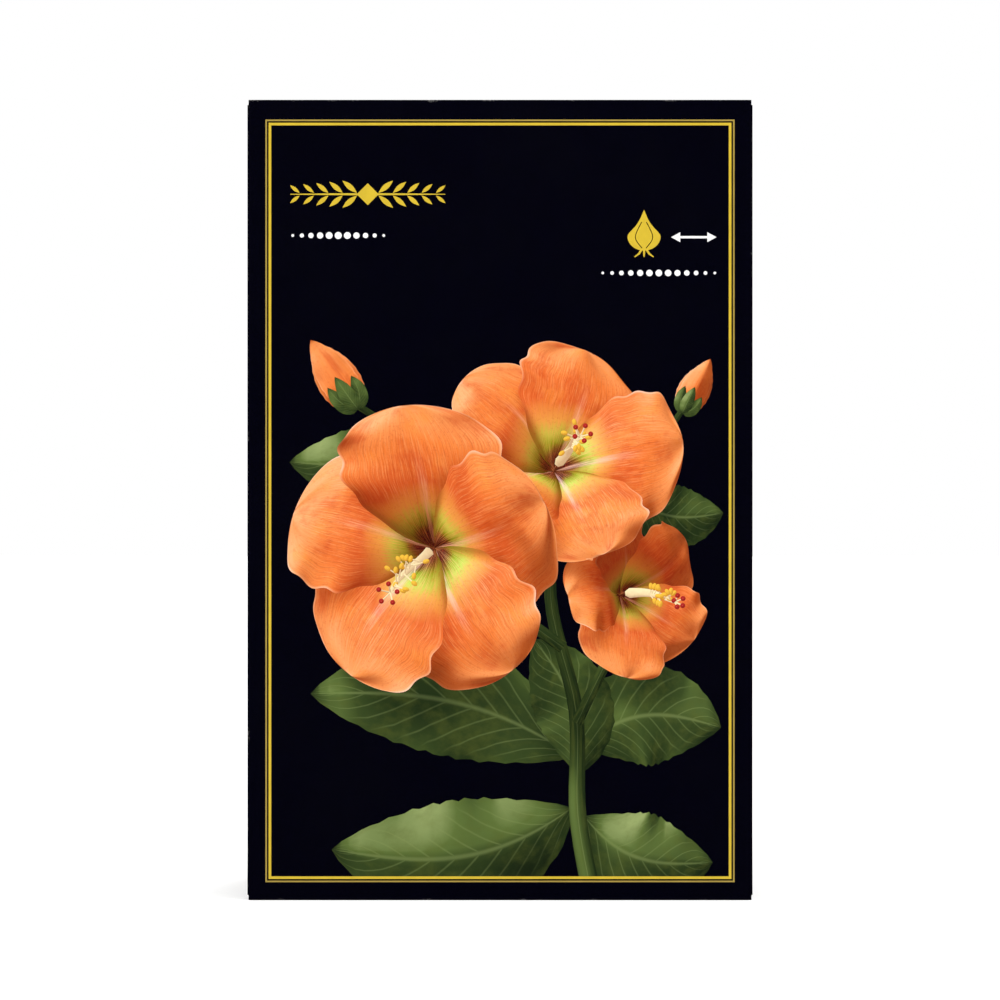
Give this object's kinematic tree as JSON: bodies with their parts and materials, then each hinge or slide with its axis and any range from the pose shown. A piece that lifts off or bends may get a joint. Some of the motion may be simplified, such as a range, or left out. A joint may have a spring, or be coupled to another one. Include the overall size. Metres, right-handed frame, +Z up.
{
  "type": "amaryllis bulb carton",
  "caption": "Upright tuck-end folding carton with a hinged lid and dust flaps, holding a large dry flower bulb in a nest of wood shavings.",
  "frame": {"origin": "centre of the carton's footprint, on the surface it stands on", "axes": "+Z up along the carton's height, -Y out of the printed front, +X to the right as seen from the front"},
  "size_m": [0.12, 0.09, 0.19],
  "materials": {
    "printed_board": "satin",
    "bulb_tunic": "matte",
    "wood_shavings": "matte"
  },
  "bodies": {
    "carton": {"carton_sleeve": "printed_board", "bottom_flap": "printed_board", "bottom_dust_flap_left": "printed_board", "bottom_dust_flap_right": "printed_board", "bulb": "bulb_tunic", "shavings_nest": "wood_shavings"},
    "lid": {"lid_flap": "printed_board"},
    "left_flap": {"dust_flap_left": "printed_board"},
    "right_flap": {"dust_flap_right": "printed_board"}
  },
  "joints": [
    {"name": "lid_fold", "type": "hinge", "parent": "carton", "child": "lid", "pos_m": [0, 0.0447, 0.1897], "axis": [-1, 0, 0], "range_deg": [0, 200]},
    {"name": "left_flap_fold", "type": "hinge", "parent": "carton", "child": "left_flap", "pos_m": [-0.0597, 0, 0.1888], "axis": [0, -1, 0], "range_deg": [0, 100]},
    {"name": "right_flap_fold", "type": "hinge", "parent": "carton", "child": "right_flap", "pos_m": [0.0597, 0, 0.1888], "axis": [0, 1, 0], "range_deg": [0, 100]}
  ],
  "couplings": [
    {"joint": "left_flap_fold", "follows": "lid_fold", "ratio": 0.5},
    {"joint": "right_flap_fold", "follows": "lid_fold", "ratio": 0.5}
  ]
}
